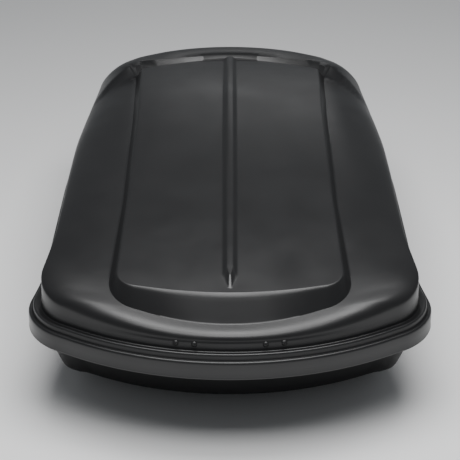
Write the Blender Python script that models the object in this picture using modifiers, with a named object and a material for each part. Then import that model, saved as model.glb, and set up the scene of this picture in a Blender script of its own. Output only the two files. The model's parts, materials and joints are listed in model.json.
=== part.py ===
"""Rear-opening roof cargo box with a hinged lid, stays, locks and crossbar clamps.

Run with: blender --background --python part.py
Units are metres, +Z is up. X runs across the car and Y along it, with the nose of the box at -Y.
The origin is on the ground plane under the middle of the box, where the U-bolts end.
"""
import math

import bmesh
import bpy
from mathutils import Matrix, Vector

# Overall sizes
LENGTH = 1.600             # lip to lip, nose to tail
GROUND_CLEARANCE = 0.060   # how far the U-bolts hang below the base floor
BASE_DEPTH = 0.190         # base floor up to the lip
LIP_Z = GROUND_CLEARANCE + BASE_DEPTH
HALF_LENGTH = LENGTH / 2
GAP = 0.0003               # gap between pieces that touch
SHEET = 0.0035             # thermoformed plastic sheet

# How many steps round each corner of a half outline, tail to nose, and along each edge
ARC_STEPS = (6, 6, 1, 1, 6, 14)
EDGE_STEPS = 2

# Half outlines seen from above, from the tail's middle round the +X side to the nose's middle.
# Each entry is a corner and the radius that rounds it.
LIP_OUTLINE = [(0, 0.8293, 1.18), (0.424, 0.735, 0.13), (0.456, 0.15, 2.5), (0.462, -0.40, 0.8),
               (0.496, -0.617, 0.163), (0, -0.9245, 0.7053)]
FLOOR_OUTLINE = [(0, 0.765, 1.0), (0.375, 0.700, 0.07), (0.402, 0.15, 2.0), (0.408, -0.30, 1.5),
                 (0.412, -0.509, 0.055), (0, -0.732, 0.668)]
PANEL_FOOT = [(0, 0.640, 0.30), (0.274, 0.520, 0.03), (0.2645, 0.15, 2.0), (0.267, -0.30, 1.5),
              (0.285, -0.655, 0.09), (0, -0.773, 0.45)]
PANEL_TOP = [(0, 0.622, 0.30), (0.262, 0.512, 0.03), (0.2535, 0.15, 2.0), (0.256, -0.30, 1.5),
             (0.264, -0.641, 0.05), (0, -0.696, 0.90)]
RIB_FOOT = [(0, 0.590, 0.006), (0.018, 0.575, 0.01), (0.0182, 0.20, 1.0), (0.0182, -0.20, 1.0),
            (0.018, -0.645, 0.01), (0, -0.665, 0.006)]
RIB_TOP = [(0, 0.575, 0.002), (0.008, 0.568, 0.003), (0.0082, 0.20, 1.0), (0.0082, -0.20, 1.0),
           (0.008, -0.625, 0.003), (0, -0.640, 0.002)]
RIB_HEIGHT = 0.006

# Cross-section of the lid's rim, as (inset from the lip outline, height above the lip)
LID_RIM = [(0.000, -0.045), (0.000, -0.006), (0.006, 0.000), (0.017, 0.000),
           (0.021, 0.012), (0.030, 0.012), (0.034, 0.036)]
CREST_INSET = 0.036        # where the wall turns over into the roof

# Heights above the lip along the length, as (y, height)
CREST_LINE = [(-0.80, 0.046), (-0.74, 0.047), (-0.65, 0.060), (-0.59, 0.074), (-0.50, 0.092),
              (-0.40, 0.106), (-0.20, 0.114), (0.0, 0.116), (0.30, 0.102), (0.50, 0.085),
              (0.62, 0.078), (0.80, 0.076)]
HOOD_LINE = [(-0.80, 0.050), (-0.741, 0.063), (-0.55, 0.104), (-0.30, 0.148),
             (0.0, 0.178), (0.25, 0.188), (0.45, 0.179), (0.62, 0.162)]
PANEL_LINE = [(-0.80, 0.088), (-0.685, 0.110), (-0.55, 0.133), (-0.30, 0.172),
              (0.0, 0.204), (0.25, 0.215), (0.45, 0.205), (0.62, 0.180)]
PANEL_CROWN = 0.010        # extra height of the panel on the middle line
TAIL_FOLD_Y = 0.614        # the fold where the tail kicks up, on the middle line
TAIL_FOLD_BOW = 1.35       # how fast the fold curves forward towards the sides
TAIL_KICK = 0.032
TAIL_RUN = 0.085           # distance over which the tail rises
TAIL_HALF = 0.235          # the kicked-up part falls away outside this
TAIL_FALL = 0.26

# Base rim and seal
BASE_RIM_INSET = 0.026
BASE_RIM_TOP = 0.002
BASE_RIM_FOOT = -0.045
# The wall below the rim, as (share of the way in to the floor's edge, share of the way down)
BASE_WALL = [(0.10, 0.05), (0.28, 0.22), (0.64, 0.62), (0.86, 0.87)]
SEAL_WIDTH = 0.0045
SEAL_HEIGHT = 0.0050

# Hinges at the nose
HINGE_X = 0.102
HINGE_Y = -0.7768
HINGE_Z = LIP_Z - 0.036
LEAF = 0.002
PIN_RADIUS = 0.0025
PIN_BORE = 0.0028
KNUCKLE_RADIUS = 0.0055
KNUCKLE_LENGTH = 0.014
OUTER_KNUCKLE = 0.010
KNUCKLE_GAP = 0.0005
RIVET_SPACING = 0.042
RIVET_RADIUS = 0.0024
RIVET_HEAD = 0.0062
RIVET_Z = LIP_Z + 0.027
RIVET_HOLE = 0.0029
NOTCH_HALF = 0.034
LEAF_HALF = 0.030
CRANK_HALF = 0.023
CRANK_END_Y = -0.7480
BASE_LEAF_HALF = 0.032
BASE_RIVET = 0.0250
PIN_LENGTH = 0.038
NOSE_RADIUS = LIP_OUTLINE[-1][2]
TAIL_RADIUS = LIP_OUTLINE[0][2]
LID_WALL_LEAN = math.atan2(0.004, 0.024)
WALL_PLAY = 0.0019         # between the flat leaf and the curved wall
LID_WALL_INNER = 0.0325 + SHEET + WALL_PLAY

# Crossbar clamps
CLAMP_X = 0.300
CLAMP_Y = 0.350
LEG_SPACING = 0.085
ROD_RADIUS = 0.004
RAIL_WIDTH = 0.064
RAIL_LENGTH = 1.000
RAIL_THICK = 0.002
CLAMP_PLATE = (0.056, 0.130, 0.004)
KNOB_HEAD = 0.024
KNOB_Z = GROUND_CLEARANCE + SHEET + RAIL_THICK + CLAMP_PLATE[2] + 3 * GAP

# Rear locks
LOCK_X = 0.200
LOCK_DROP = 0.022          # lock axis below the lip
BARREL_RADIUS = 0.0085
CAM_SHANK = 0.004
LOCK_NOTCH = 0.0125        # half the width of the gap in the seal at each lock

# Lid stays: the arm is as long as its pivot is far from the hinge line, so that it turns
# exactly twice as fast as the lid while its pin slides along the track
STAY_X = 0.392
STAY_REACH = 0.500
STAY_PIVOT_ANGLE = math.radians(-4)
STAY_TRACK_ANGLE = math.radians(5)
STAY_ARM = (0.003, 0.018)  # thickness and width
STAY_PIN_RADIUS = 0.004
LID_OPEN = math.radians(40)


# ---------------------------------------------------------------- scene and materials

def clear_scene():
    for item in list(bpy.data.objects):
        bpy.data.objects.remove(item, do_unlink=True)


def new_collection(name):
    made = bpy.data.collections.new(name)
    bpy.context.scene.collection.children.link(made)
    return made


def make_material(name, colour, roughness, metallic=0.0):
    made = bpy.data.materials.new(name)
    made.use_nodes = True
    shader = made.node_tree.nodes["Principled BSDF"]
    shader.inputs["Base Color"].default_value = (*colour, 1.0)
    shader.inputs["Roughness"].default_value = roughness
    shader.inputs["Metallic"].default_value = metallic
    return made


clear_scene()
BOX = new_collection("roof_cargo_box")
CUTTERS = new_collection("cutters")
LID_ABS = make_material("black_abs_sheet", (0.020, 0.020, 0.021), 0.45)
BASE_ABS = make_material("black_base_sheet", (0.012, 0.012, 0.013), 0.60)
STEEL = make_material("zinc_plated_steel", (0.52, 0.53, 0.55), 0.35, 1.0)
BLACK_STEEL = make_material("black_coated_steel", (0.03, 0.03, 0.03), 0.5, 0.6)
RUBBER = make_material("seal_rubber", (0.015, 0.015, 0.015), 0.85)
KNOB_NYLON = make_material("knob_nylon", (0.025, 0.025, 0.025), 0.55)


# ---------------------------------------------------------------- making objects

def add_object(name, bm, material, smooth_angle=None):
    """Turn a bmesh into a named piece of the box."""
    mesh = bpy.data.meshes.new(name)
    bm.normal_update()
    bm.to_mesh(mesh)
    bm.free()
    made = bpy.data.objects.new(name, mesh)
    BOX.objects.link(made)
    mesh.materials.append(material)
    if smooth_angle is not None:
        mesh.shade_smooth()
        mesh.set_sharp_from_angle(angle=math.radians(smooth_angle))
    return made


def copy_object(source, name, location):
    """A second object that shares the first one's mesh."""
    made = bpy.data.objects.new(name, source.data)
    BOX.objects.link(made)
    made.location = location


def hang_on(name, location, pieces):
    """Parent pieces to a new empty that stands on their joint's axis."""
    holder = bpy.data.objects.new(name, None)
    BOX.objects.link(holder)
    holder.location = location
    for piece in pieces:
        piece.parent = holder
        piece.matrix_parent_inverse = Matrix.Translation(location).inverted()


def box_into(bm, low, high):
    """Add a box between two opposite corners, given in any order, to a bmesh."""
    low, high = (Vector([pick(pair) for pair in zip(low, high)]) for pick in (min, max))
    place = Matrix.Translation((low + high) / 2) @ Matrix.Diagonal((*(high - low), 1))
    return bmesh.ops.create_cube(bm, size=1, matrix=place)["verts"]


def cylinder_into(bm, centre, axis, radius, length, sides=16):
    """Add a cylinder to a bmesh, centred on a point and running along an axis."""
    turn = Vector(axis).to_track_quat("Z", "Y").to_matrix().to_4x4()
    return bmesh.ops.create_cone(
        bm, cap_ends=True, segments=sides, radius1=radius, radius2=radius,
        depth=length, matrix=Matrix.Translation(centre) @ turn)["verts"]


def add_box(name, low, high, material, bevel=0.0):
    bm = bmesh.new()
    box_into(bm, low, high)
    made = add_object(name, bm, material)
    if bevel:
        rounding = made.modifiers.new("bevel", "BEVEL")
        rounding.width = bevel
        rounding.segments = 1
        rounding.limit_method = "ANGLE"
    return made


def add_cutter(name, bm):
    """A hidden solid for Boolean modifiers."""
    mesh = bpy.data.meshes.new(name)
    bm.to_mesh(mesh)
    bm.free()
    made = bpy.data.objects.new(name, mesh)
    CUTTERS.objects.link(made)
    made.hide_render = True
    made.display_type = "WIRE"
    return made


def boolean(target, cutter, operation="DIFFERENCE"):
    made = target.modifiers.new(f"{operation.lower()}_{cutter.name}", "BOOLEAN")
    made.operation = operation
    made.object = cutter
    made.solver = "EXACT"


def joined(name, shapes, material, smooth_angle=30):
    """One piece from several overlapping solids: the first takes in the others by Boolean union."""
    made = add_object(name, shapes[0], material, smooth_angle)
    for number, shape in enumerate(shapes[1:], 1):
        boolean(made, add_cutter(f"{name}_part_{number}", shape), "UNION")
    return made


def solid(low, high):
    bm = bmesh.new()
    box_into(bm, low, high)
    return bm


def rod(centre, axis, radius, length, sides=16):
    bm = bmesh.new()
    cylinder_into(bm, centre, axis, radius, length, sides)
    return bm


# ---------------------------------------------------------------- outlines and lofts

def whole_outline(half):
    """Mirror a half outline to the -X side."""
    return half + [(-x, y, r) for x, y, r in reversed(half[1:-1])]


def outline_points(half):
    """Points round a closed outline: an arc at each corner and a few points on each edge."""
    corners = whole_outline(half)
    steps = ARC_STEPS + ARC_STEPS[-2:0:-1]
    arcs = []
    for index, (x, y, radius) in enumerate(corners):
        corner = Vector((x, y))
        to_last = (Vector(corners[index - 1][:2]) - corner).normalized()
        to_next = (Vector(corners[(index + 1) % len(corners)][:2]) - corner).normalized()
        opening = to_last.angle(to_next)
        centre = corner + (to_last + to_next).normalized() * radius / math.sin(opening / 2)
        start = corner + to_last * radius / math.tan(opening / 2) - centre
        turn = -(math.pi - opening) * math.copysign(1, to_last.cross(to_next))
        arcs.append([centre + Matrix.Rotation(turn * step / steps[index], 2) @ start
                     for step in range(steps[index] + 1)])
    points = []
    for index, arc in enumerate(arcs):
        points.extend(arc)
        following = arcs[(index + 1) % len(arcs)][0]
        points.extend(arc[-1].lerp(following, step / EDGE_STEPS) for step in range(1, EDGE_STEPS))
    return points


def inset(points, distance):
    """Move a closed outline inwards along its normals."""
    moved = []
    for index, point in enumerate(points):
        along = (points[(index + 1) % len(points)] - point).normalized()
        along += (point - points[index - 1]).normalized()
        moved.append(point + Vector((along.y, -along.x)).normalized() * distance)
    return moved


def blend(first, second, share):
    return [a.lerp(b, share) for a, b in zip(first, second)]


def level(points, z):
    return [Vector((p.x, p.y, z)) for p in points]


def loft_into(bm, rings):
    """Join rings of equal length with quads, and return their vertices."""
    rows = [[bm.verts.new(point) for point in ring] for ring in rings]
    count = len(rows[0])
    for lower, upper in zip(rows, rows[1:]):
        for index in range(count):
            after = (index + 1) % count
            bm.faces.new((lower[index], upper[index], upper[after], lower[after]))
    return rows


def close_across(bm, row):
    """Fill a ring that is symmetric about X = 0 with quads from side to side."""
    start = ARC_STEPS[0] // 2
    order = row[start:] + row[:start]
    for index in range(len(row) // 2):
        corners = (order[index], order[-index], order[-index - 1], order[index + 1])
        bm.faces.new(dict.fromkeys(corners))


def face_outwards(bm):
    bmesh.ops.recalc_face_normals(bm, faces=bm.faces)


def curve_height(line, y):
    """A smooth line through the given heights: a cubic Hermite curve with averaged slopes."""
    y = min(max(y, line[0][0]), line[-1][0])
    slopes = []
    for index in range(len(line)):
        before, after = line[max(index - 1, 0)], line[min(index + 1, len(line) - 1)]
        slopes.append((after[1] - before[1]) / (after[0] - before[0]))
    index = next(i for i in range(len(line) - 1) if y <= line[i + 1][0])
    (y0, h0), (y1, h1) = line[index], line[index + 1]
    run = y1 - y0
    t = (y - y0) / run
    return ((2 * t**3 - 3 * t**2 + 1) * h0 + (t**3 - 2 * t**2 + t) * run * slopes[index]
            + (3 * t**2 - 2 * t**3) * h1 + (t**3 - t**2) * run * slopes[index + 1])


def ease(value):
    value = min(max(value, 0.0), 1.0)
    return value * value * (3 - 2 * value)


# ---------------------------------------------------------------- the lid

def tail_rise(x, y):
    """How far the kicked-up tail stands above the line that it grows out of."""
    past = y - (TAIL_FOLD_Y - TAIL_FOLD_BOW * x * x)
    fall = TAIL_FALL * max(0.0, abs(x) - TAIL_HALF) * ease(past / 0.04)
    return TAIL_KICK * ease(past / TAIL_RUN) + max(0.0, past) * 0.10 - fall


def hood_height(x, y):
    return LIP_Z + curve_height(HOOD_LINE, y) + tail_rise(x, y)


def panel_height(x, y):
    crown = PANEL_CROWN * (1 - (x / 0.27) ** 2) * ease((y + HALF_LENGTH) / 0.3)
    return LIP_Z + curve_height(PANEL_LINE, y) + max(crown, 0.0)


def crest_height(y):
    """Height of the edge between wall and roof: low over the nose, higher along the sides."""
    return LIP_Z + curve_height(CREST_LINE, y)


def roof_ring(crest, foot, share):
    """A ring of the roof between the crest and the panel's foot. It swells like an ellipse, which
    is squarer across the middle of the tail."""
    ring = []
    for edge, point in zip(crest, blend(crest, foot, share)):
        low = crest_height(edge.y)
        square = ease((edge.y - 0.60) / 0.10) * (1 - ease((abs(point.x) - 0.20) / 0.14))
        swell = (1 - (1 - share) ** (1.8 + 3.0 * square)) ** (1 / (1.6 + 0.4 * square))
        ring.append(Vector((point.x, point.y, low + (hood_height(point.x, point.y) - low) * swell)))
    return ring


def lid_rings():
    lip = outline_points(LIP_OUTLINE)
    rings = [level(inset(lip, across), LIP_Z + up) for across, up in LID_RIM]
    crest = inset(lip, CREST_INSET)
    foot = outline_points(PANEL_FOOT)
    rings.append([Vector((p.x, p.y, crest_height(p.y))) for p in crest])
    rings.extend(roof_ring(crest, foot, share) for share in (0.08, 0.22, 0.45, 0.72, 1.0))
    top = outline_points(PANEL_TOP)
    rib_foot = outline_points(RIB_FOOT)
    for share in (0.0, 0.5, 1.0):
        ring = blend(top, rib_foot, share)
        rings.append([Vector((p.x, p.y, panel_height(p.x, p.y))) for p in ring])
    rings.append([Vector((p.x, p.y, panel_height(p.x, p.y) + RIB_HEIGHT))
                  for p in outline_points(RIB_TOP)])
    return rings


def make_lid():
    bm = bmesh.new()
    rows = loft_into(bm, lid_rings())
    close_across(bm, rows[-1])
    face_outwards(bm)
    lid = add_object("lid_shell", bm, LID_ABS, 35)
    sheet = lid.modifiers.new("sheet", "SOLIDIFY")
    sheet.thickness = SHEET
    sheet.offset = -1
    sheet.use_even_offset = False
    return lid


# ---------------------------------------------------------------- the base and its seal

def base_rings():
    lip = outline_points(LIP_OUTLINE)
    rim = inset(lip, BASE_RIM_INSET)
    floor = outline_points(FLOOR_OUTLINE)
    rings = [level(rim, LIP_Z + BASE_RIM_TOP), level(rim, LIP_Z + BASE_RIM_FOOT)]
    drop = BASE_DEPTH + BASE_RIM_FOOT
    for inwards, down in BASE_WALL:
        rings.append(level(blend(rim, floor, inwards), LIP_Z + BASE_RIM_FOOT - drop * down))
    rings.append(level(floor, GROUND_CLEARANCE))
    rings.append(level([point * 0.6 for point in floor], GROUND_CLEARANCE))
    return rings


def make_base():
    bm = bmesh.new()
    rows = loft_into(bm, base_rings())
    close_across(bm, rows[-1])
    face_outwards(bm)
    bm.faces.ensure_lookup_table()
    bm.normal_update()
    if bm.faces[-1].normal.z > 0:       # the floor's own face has to point down
        bmesh.ops.reverse_faces(bm, faces=bm.faces)
    base = add_object("base_shell", bm, BASE_ABS, 35)
    sheet = base.modifiers.new("sheet", "SOLIDIFY")
    sheet.thickness = SHEET
    sheet.offset = -1
    sheet.use_even_offset = True
    return base


def seal_ring():
    """The whole rubber ring that would lie on the base rim, before it is cut into strips."""
    lip = outline_points(LIP_OUTLINE)
    outer = inset(lip, BASE_RIM_INSET - 0.0002)
    inner = inset(lip, BASE_RIM_INSET - 0.0002 + SEAL_WIDTH)
    bottom = LIP_Z + BASE_RIM_TOP + GAP
    top = bottom + SEAL_HEIGHT
    bm = bmesh.new()
    rings = [level(outer, bottom), level(outer, top), level(inner, top), level(inner, bottom)]
    rows = loft_into(bm, rings)
    count = len(rows[0])
    for index in range(count):
        after = (index + 1) % count
        bm.faces.new((rows[3][index], rows[0][index], rows[0][after], rows[3][after]))
    face_outwards(bm)
    return bm


def make_seal(name, low, high):
    """The stretch of the rubber ring that lies between two corners, seen from above."""
    seal = add_object(name, seal_ring(), RUBBER)
    stretch = solid((*low, LIP_Z - 0.05), (*high, LIP_Z + 0.05))
    boolean(seal, add_cutter(f"{name}_stretch", stretch), "INTERSECT")
    return seal


def make_seals():
    """Four strips: the rim is notched for the two hinges and the two locks."""
    nose_end = HINGE_X - NOTCH_HALF
    side_start = HINGE_X + NOTCH_HALF
    tail_end = LOCK_X - LOCK_NOTCH
    side_end = LOCK_X + LOCK_NOTCH
    make_seal("rim_seal_nose", (-nose_end, -0.85), (nose_end, -0.60))
    make_seal("rim_seal_tail", (-tail_end, 0.60), (tail_end, 0.85))
    for side, word in ((1, "right"), (-1, "left")):
        seal = add_object(f"rim_seal_{word}", seal_ring(), RUBBER)
        for end, start, edge in (("nose", -0.90, side_start), ("tail", 0.0, side_end)):
            rest = solid((-side * 0.60, start, LIP_Z - 0.05), (side * edge, start + 0.95, LIP_Z + 0.05))
            boolean(seal, add_cutter(f"rim_seal_{word}_{end}_rest", rest))


# ---------------------------------------------------------------- hinges and rivets

def nose_point(x, distance):
    """A point on the nose's arc, moved inwards from the lip outline, and the arc's tangent angle."""
    radius = NOSE_RADIUS - distance
    return Vector((x, NOSE_RADIUS - HALF_LENGTH - math.sqrt(radius**2 - x**2))), math.asin(x / radius)


def wall_frame(x, distance, z, lean=0.0):
    """A frame on the nose: X along the wall, Y straight into the box, Z up the wall."""
    point, turn = nose_point(x, distance)
    return (Matrix.Translation((point.x, point.y, z)) @ Matrix.Rotation(turn, 4, "Z")
            @ Matrix.Rotation(-lean, 4, "X"))


def placed(bm, matrix):
    bmesh.ops.transform(bm, matrix=matrix, verts=bm.verts)
    return bm


def turned(profile, sides=20):
    """A solid of revolution about Z from a profile of (radius, height) points."""
    bm = bmesh.new()
    verts = [bm.verts.new((radius, 0, height)) for radius, height in profile]
    edges = [bm.edges.new(pair) for pair in zip(verts, verts[1:])]
    if profile[0][0] > 0:
        edges.append(bm.edges.new((verts[-1], verts[0])))
    bmesh.ops.spin(bm, geom=verts + edges, cent=(0, 0, 0), axis=(0, 0, 1),
                   angle=math.tau, steps=sides, use_merge=True)
    bmesh.ops.remove_doubles(bm, verts=bm.verts, dist=0.00001)
    face_outwards(bm)
    return bm


ALONG_Y = Matrix.Rotation(-math.pi / 2, 4, "X")


def rivet_shape(grip):
    """A blind rivet along +Y: dome head at -Y, shank, and the set tail at +Y."""
    tail = grip + GAP
    profile = [(0, -0.0022), (0.0030, -0.0020), (0.0050, -0.0012), (RIVET_HEAD, -GAP),
               (RIVET_RADIUS, -GAP), (RIVET_RADIUS, tail), (0.0042, tail),
               (0.0042, tail + 0.0014), (0, tail + 0.0014)]
    return placed(turned(profile, 12), ALONG_Y)


def add_rivet(name, frame, along, grip):
    made = add_object(name, rivet_shape(grip), BLACK_STEEL, 35)
    made.matrix_world = frame @ Matrix.Translation((along, 0, 0))
    return made


def drill(targets, name, matrix, radius, length):
    """Cut one hole along a frame's Y axis through each of the given pieces."""
    hole = placed(rod((0, 0, 0), (0, 1, 0), radius, length), matrix)
    cutter = add_cutter(name, hole)
    for target in targets:
        boolean(target, cutter)


def make_lid_leaf(word, side):
    """A cranked steel leaf: riveted inside the lid's front wall, down past the rim to the knuckle."""
    x = side * HINGE_X
    frame = wall_frame(x, LID_WALL_INNER, RIVET_Z, LID_WALL_LEAN)
    plate = placed(solid((-LEAF_HALF, 0, -0.037), (LEAF_HALF, LEAF, 0.009)), frame)
    crank_z = LIP_Z - 0.008
    low_y = HINGE_Y - LEAF / 2
    crank = solid((x - CRANK_HALF, low_y, crank_z - LEAF / 2),
                  (x + CRANK_HALF, CRANK_END_Y, crank_z + LEAF / 2))
    drop = solid((x - CRANK_HALF, low_y, HINGE_Z + 0.0075),
                 (x + CRANK_HALF, low_y + LEAF, crank_z + LEAF / 2))
    tab = solid((x - KNUCKLE_LENGTH / 2, low_y, HINGE_Z + 0.0035),
                (x + KNUCKLE_LENGTH / 2, low_y + LEAF, HINGE_Z + 0.0085))
    knuckle = rod((x, HINGE_Y, HINGE_Z), (1, 0, 0), KNUCKLE_RADIUS, KNUCKLE_LENGTH)
    leaf = joined(f"hinge_lid_leaf_{word}", [plate, crank, drop, tab, knuckle], STEEL)
    boolean(leaf, hinge_bore(word, x))
    return leaf, frame


def hinge_bore(word, x):
    name = f"hinge_bore_{word}"
    if name in bpy.data.objects:
        return bpy.data.objects[name]
    return add_cutter(name, rod((x, HINGE_Y, HINGE_Z), (1, 0, 0), PIN_BORE, 0.060))


def make_base_leaf(word, side):
    """The fixed leaf: a plate riveted on the rim's outer face, with the two outer knuckles."""
    x = side * HINGE_X
    frame = wall_frame(x, BASE_RIM_INSET - LEAF - 0.0010, HINGE_Z)
    shapes = [placed(solid((-BASE_LEAF_HALF, 0, -0.012), (BASE_LEAF_HALF, LEAF, 0.018)), frame)]
    for way in (-1, 1):
        middle = x + way * (KNUCKLE_LENGTH / 2 + KNUCKLE_GAP + OUTER_KNUCKLE / 2)
        half = OUTER_KNUCKLE / 2
        reach = nose_point(middle, BASE_RIM_INSET - LEAF)[0].y
        shapes.append(solid((middle - half, HINGE_Y + 0.0035, HINGE_Z - LEAF / 2),
                            (middle + half, reach, HINGE_Z + LEAF / 2)))
        shapes.append(rod((middle, HINGE_Y, HINGE_Z), (1, 0, 0), KNUCKLE_RADIUS, OUTER_KNUCKLE))
    leaf = joined(f"hinge_base_leaf_{word}", shapes, STEEL)
    boolean(leaf, hinge_bore(word, x))
    return leaf, frame


def make_hinge(word, side):
    x = side * HINGE_X
    lid_leaf, lid_frame = make_lid_leaf(word, side)
    base_leaf, base_frame = make_base_leaf(word, side)
    pin = rod((x, HINGE_Y, HINGE_Z), (1, 0, 0), PIN_RADIUS, PIN_LENGTH)
    add_object(f"hinge_pin_{word}", pin, STEEL, 30)
    lid_head = lid_frame @ Matrix.Translation((0, -SHEET - WALL_PLAY, 0))
    for way, end in ((-1, "a"), (1, "b")):
        lid_along, base_along = way * RIVET_SPACING / 2, way * BASE_RIVET
        drill((LID, lid_leaf), f"lid_rivet_hole_{word}_{end}",
              lid_frame @ Matrix.Translation((lid_along, 0, 0)), RIVET_HOLE, 0.016)
        add_rivet(f"lid_rivet_{word}_{end}", lid_head, lid_along, SHEET + WALL_PLAY + LEAF)
        drill((BASE, base_leaf), f"base_rivet_hole_{word}_{end}",
              base_frame @ Matrix.Translation((base_along, 0, 0)), RIVET_HOLE, 0.020)
        add_rivet(f"base_rivet_{word}_{end}", base_frame, base_along, LEAF + 0.0026 + SHEET)
    notch = solid((x - NOTCH_HALF, -0.82, LIP_Z - 0.016), (x + NOTCH_HALF, -0.70, LIP_Z + 0.02))
    boolean(BASE, add_cutter(f"hinge_notch_{word}", notch))


# ---------------------------------------------------------------- rear locks and stiffener

def make_stiffener():
    """A steel strip inside the lid's rear lip, following its curve."""
    lip = outline_points(LIP_OUTLINE)
    outer = inset(lip, SHEET + 0.0010)
    inner = inset(lip, SHEET + 0.0010 + LEAF)
    span = [i for i, p in enumerate(lip) if p.y > 0 and abs(p.x) < 0.30]
    order = sorted(span, key=lambda i: lip[i].x)
    bm = bmesh.new()
    low, high = LIP_Z - 0.041, LIP_Z - 0.008
    rows = []
    for index in order:
        near, far = inner[index], outer[index]
        rows.append([bm.verts.new((near.x, near.y, low)), bm.verts.new((far.x, far.y, low)),
                     bm.verts.new((far.x, far.y, high)), bm.verts.new((near.x, near.y, high))])
    for first, second in zip(rows, rows[1:]):
        for side in range(4):
            after = (side + 1) % 4
            bm.faces.new((first[side], first[after], second[after], second[side]))
    bm.faces.new(rows[0])
    bm.faces.new(rows[-1])
    face_outwards(bm)
    return add_object("rear_stiffener", bm, STEEL)


def lock_frame(side):
    """A frame on the rear lip at a lock: Y points out of the lip, along the barrel."""
    turn = -side * math.asin(LOCK_X / TAIL_RADIUS)
    y = HALF_LENGTH - TAIL_RADIUS + math.sqrt(TAIL_RADIUS**2 - LOCK_X**2)
    return (Matrix.Translation((side * LOCK_X, y, LIP_Z - LOCK_DROP))
            @ Matrix.Rotation(turn, 4, "Z"))


def make_lock(word, side, stiffener):
    frame = lock_frame(side)
    # Along the barrel: 0 is the lip's outer face, and the inside of the box is at minus
    housing = [(BARREL_RADIUS + 0.0004, 0.0030), (BARREL_RADIUS + 0.0004, -0.0120),
               (0.0105, -0.0120), (0.0105, GAP), (0.0150, GAP), (0.0150, 0.0022), (0.0142, 0.0030)]
    add_object(f"lock_housing_{word}", placed(turned(housing, 20), frame @ ALONG_Y), BLACK_STEEL, 35)
    profile = [(0, 0.0024), (BARREL_RADIUS, 0.0024), (BARREL_RADIUS, -0.0354),
               (CAM_SHANK, -0.0354), (CAM_SHANK, -0.0400), (0, -0.0400)]
    barrel = add_object(f"lock_barrel_{word}", turned(profile, 20), STEEL, 35)
    barrel.matrix_world = frame @ ALONG_Y
    keyway = placed(solid((-0.0010, 0.0004, -0.0040), (0.0010, 0.0030, 0.0040)), frame)
    boolean(barrel, add_cutter(f"keyway_{word}", keyway))
    bar = capsule_shape((0, 0), (0, -0.030), 0.0065, -0.0382, -0.0357, 12)
    cam = add_object(f"lock_cam_{word}", placed(bar, Matrix.Rotation(math.pi / 2, 4, "Z")), STEEL)
    cam.matrix_world = frame
    hole = rod((0, -0.0370, 0), (0, 1, 0), CAM_SHANK + GAP, 0.02)
    boolean(cam, add_cutter(f"cam_hole_{word}", placed(hole, frame)))
    drill((LID, stiffener), f"lock_hole_{word}", frame, 0.0112, 0.024)
    make_keeper(word, side, frame)
    notch = placed(solid((-0.0115, -0.060, -0.014), (0.0115, -0.010, 0.05)), frame)
    boolean(BASE, add_cutter(f"lock_notch_{word}", notch))


def make_keeper(word, side, frame):
    """A bent plate on the rim's inner face: its ledge holds the cam down when that is turned."""
    near, far = sorted((-side * 0.0150, -side * 0.0380))
    face = BASE_RIM_INSET + SHEET + 0.0026
    plate = placed(solid((near, -face - LEAF, -0.020), (far, -face, 0.0095)), frame)
    ledge = placed(solid((near, -0.0445, 0.0075), (far, -face - 0.001, 0.0095)), frame)
    joined(f"lock_keeper_{word}", [plate, ledge], STEEL)


def capsule_shape(start, end, radius, low, high, steps=8):
    """A flat bar with round ends in the YZ plane, between two values of X."""
    start, end = Vector(start), Vector(end)
    along = (end - start).normalized()
    heading = math.atan2(along.y, along.x)
    points = []
    for centre, first in ((end, -math.pi / 2), (start, math.pi / 2)):
        for step in range(steps + 1):
            angle = heading + first + math.pi * step / steps
            points.append(centre + Vector((math.cos(angle), math.sin(angle))) * radius)
    bm = bmesh.new()
    face = bm.faces.new([bm.verts.new((low, p.x, p.y)) for p in points])
    grown = bmesh.ops.extrude_face_region(bm, geom=[face])
    moved = [item for item in grown["geom"] if isinstance(item, bmesh.types.BMVert)]
    bmesh.ops.translate(bm, vec=(high - low, 0, 0), verts=moved)
    face_outwards(bm)
    return bm


# ---------------------------------------------------------------- lid stays

def lip_half_width(y):
    """Half the width of the lip outline on its nearly straight sides."""
    corners = sorted((corner[1], corner[0]) for corner in LIP_OUTLINE[1:5])
    for (y0, x0), (y1, x1) in zip(corners, corners[1:]):
        if y <= y1:
            return x0 + (x1 - x0) * (y - y0) / (y1 - y0)
    return corners[-1][1]


def from_hinge(distance, angle):
    """A point in the YZ plane, at a distance and an angle from the lid's hinge line."""
    return Vector((HINGE_Y + distance * math.cos(angle), HINGE_Z + distance * math.sin(angle)))


def make_stay(word, side):
    pivot = from_hinge(STAY_REACH, STAY_PIVOT_ANGLE)
    closed = STAY_TRACK_ANGLE - STAY_PIVOT_ANGLE
    far = 2 * STAY_REACH * math.cos(closed)
    near = 2 * STAY_REACH * math.cos(closed + LID_OPEN)
    tip = from_hinge(far, STAY_TRACK_ANGLE)
    thick, width = STAY_ARM
    low, high = sorted((side * (STAY_X - thick / 2), side * (STAY_X + thick / 2)))
    arm = add_object(f"stay_arm_{word}", capsule_shape(pivot, tip, width / 2, low, high), STEEL)
    for name, at in (("pivot", pivot), ("tip", tip)):
        hole = rod((side * STAY_X, at.x, at.y), (1, 0, 0), STAY_PIN_RADIUS + GAP, 0.02)
        boolean(arm, add_cutter(f"stay_hole_{name}_{word}", hole))
    make_stay_bracket(word, side, pivot)
    make_stay_pin(f"stay_pivot_pin_{word}", side, pivot, STAY_X - 0.0045, STAY_X + 0.0240)
    slide = make_stay_pin(f"stay_slide_pin_{word}", side, tip, STAY_X - 0.0045, STAY_X + 0.0125)
    hang_on(f"stay_pivot_axis_{word}", (side * STAY_X, pivot.x, pivot.y), (arm, slide))
    make_stay_track(word, side, near, far)


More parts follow.
